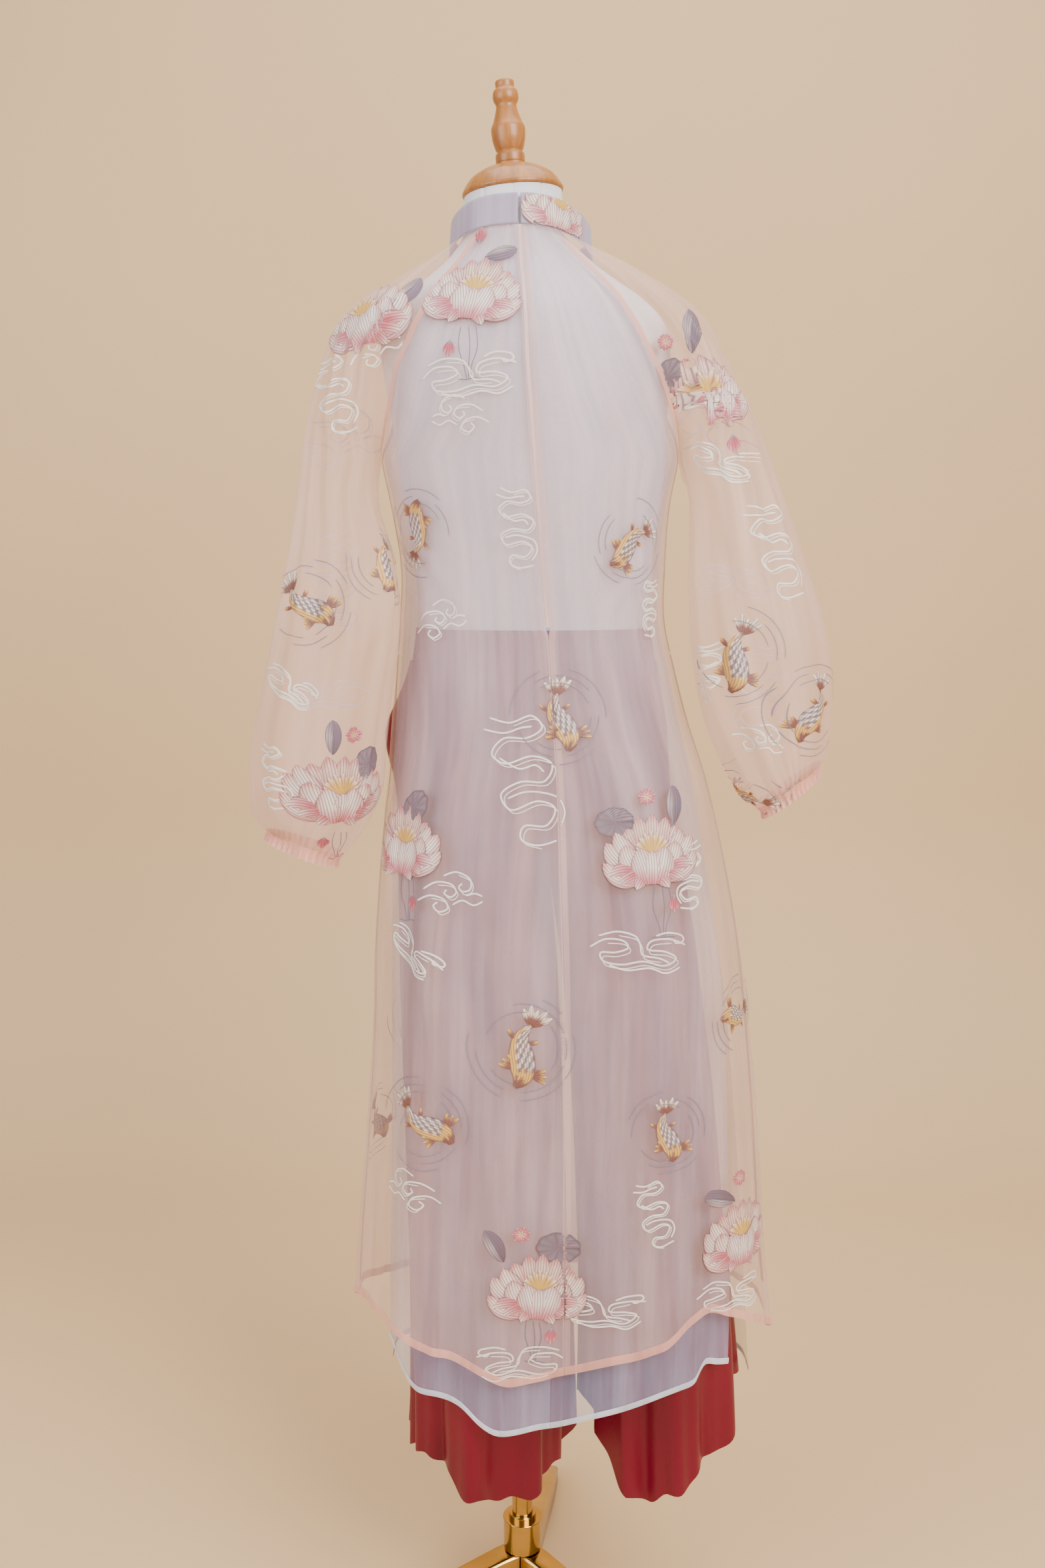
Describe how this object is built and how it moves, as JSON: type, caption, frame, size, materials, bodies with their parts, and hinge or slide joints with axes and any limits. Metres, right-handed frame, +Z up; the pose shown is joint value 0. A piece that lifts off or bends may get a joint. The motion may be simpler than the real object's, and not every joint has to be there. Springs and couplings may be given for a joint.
{
  "type": "ao dai on a dress form",
  "caption": "Long sheer embroidered tunic with side slits and gathered sleeves, over a lilac slip and wide satin trousers, worn by a limbless dress form on a brass tripod stand.",
  "frame": {"origin": "on the floor, under the middle of the whole outline (the bounding box's bottom centre)", "axes": "+Z up along the stand's pole; -Y is the garment's back, the side in the picture; +Y is its front; +X is the wearer's right"},
  "size_m": [0.635, 0.443, 1.7599],
  "materials": {
    "embroidered organza": "sheer peach-pink organza with satin-stitch embroidery",
    "lilac lining": "semi-sheer lilac lining",
    "red satin": "satin",
    "form cloth": "matt cream cover cloth",
    "turned wood": "satin varnish",
    "brass": "polished",
    "zip tape": "woven tape"
  },
  "bodies": {
    "root": {"back_left": "embroidered organza", "back_right": "embroidered organza", "front": "embroidered organza", "collar": "embroidered organza", "sleeve_left": "embroidered organza", "sleeve_right": "embroidered organza", "slip_back_left": "lilac lining", "slip_back_right": "lilac lining", "slip_front": "lilac lining", "trouser_waistband": "red satin", "trouser_left": "red satin", "trouser_right": "red satin", "dress_form": "form cloth", "neck_cap": "turned wood", "finial": "turned wood", "pole": "brass", "base_hub": "brass", "base_leg_right": "brass", "base_leg_back": "brass", "base_leg_left": "brass", "back_zip": "zip tape"}
  },
  "joints": []
}
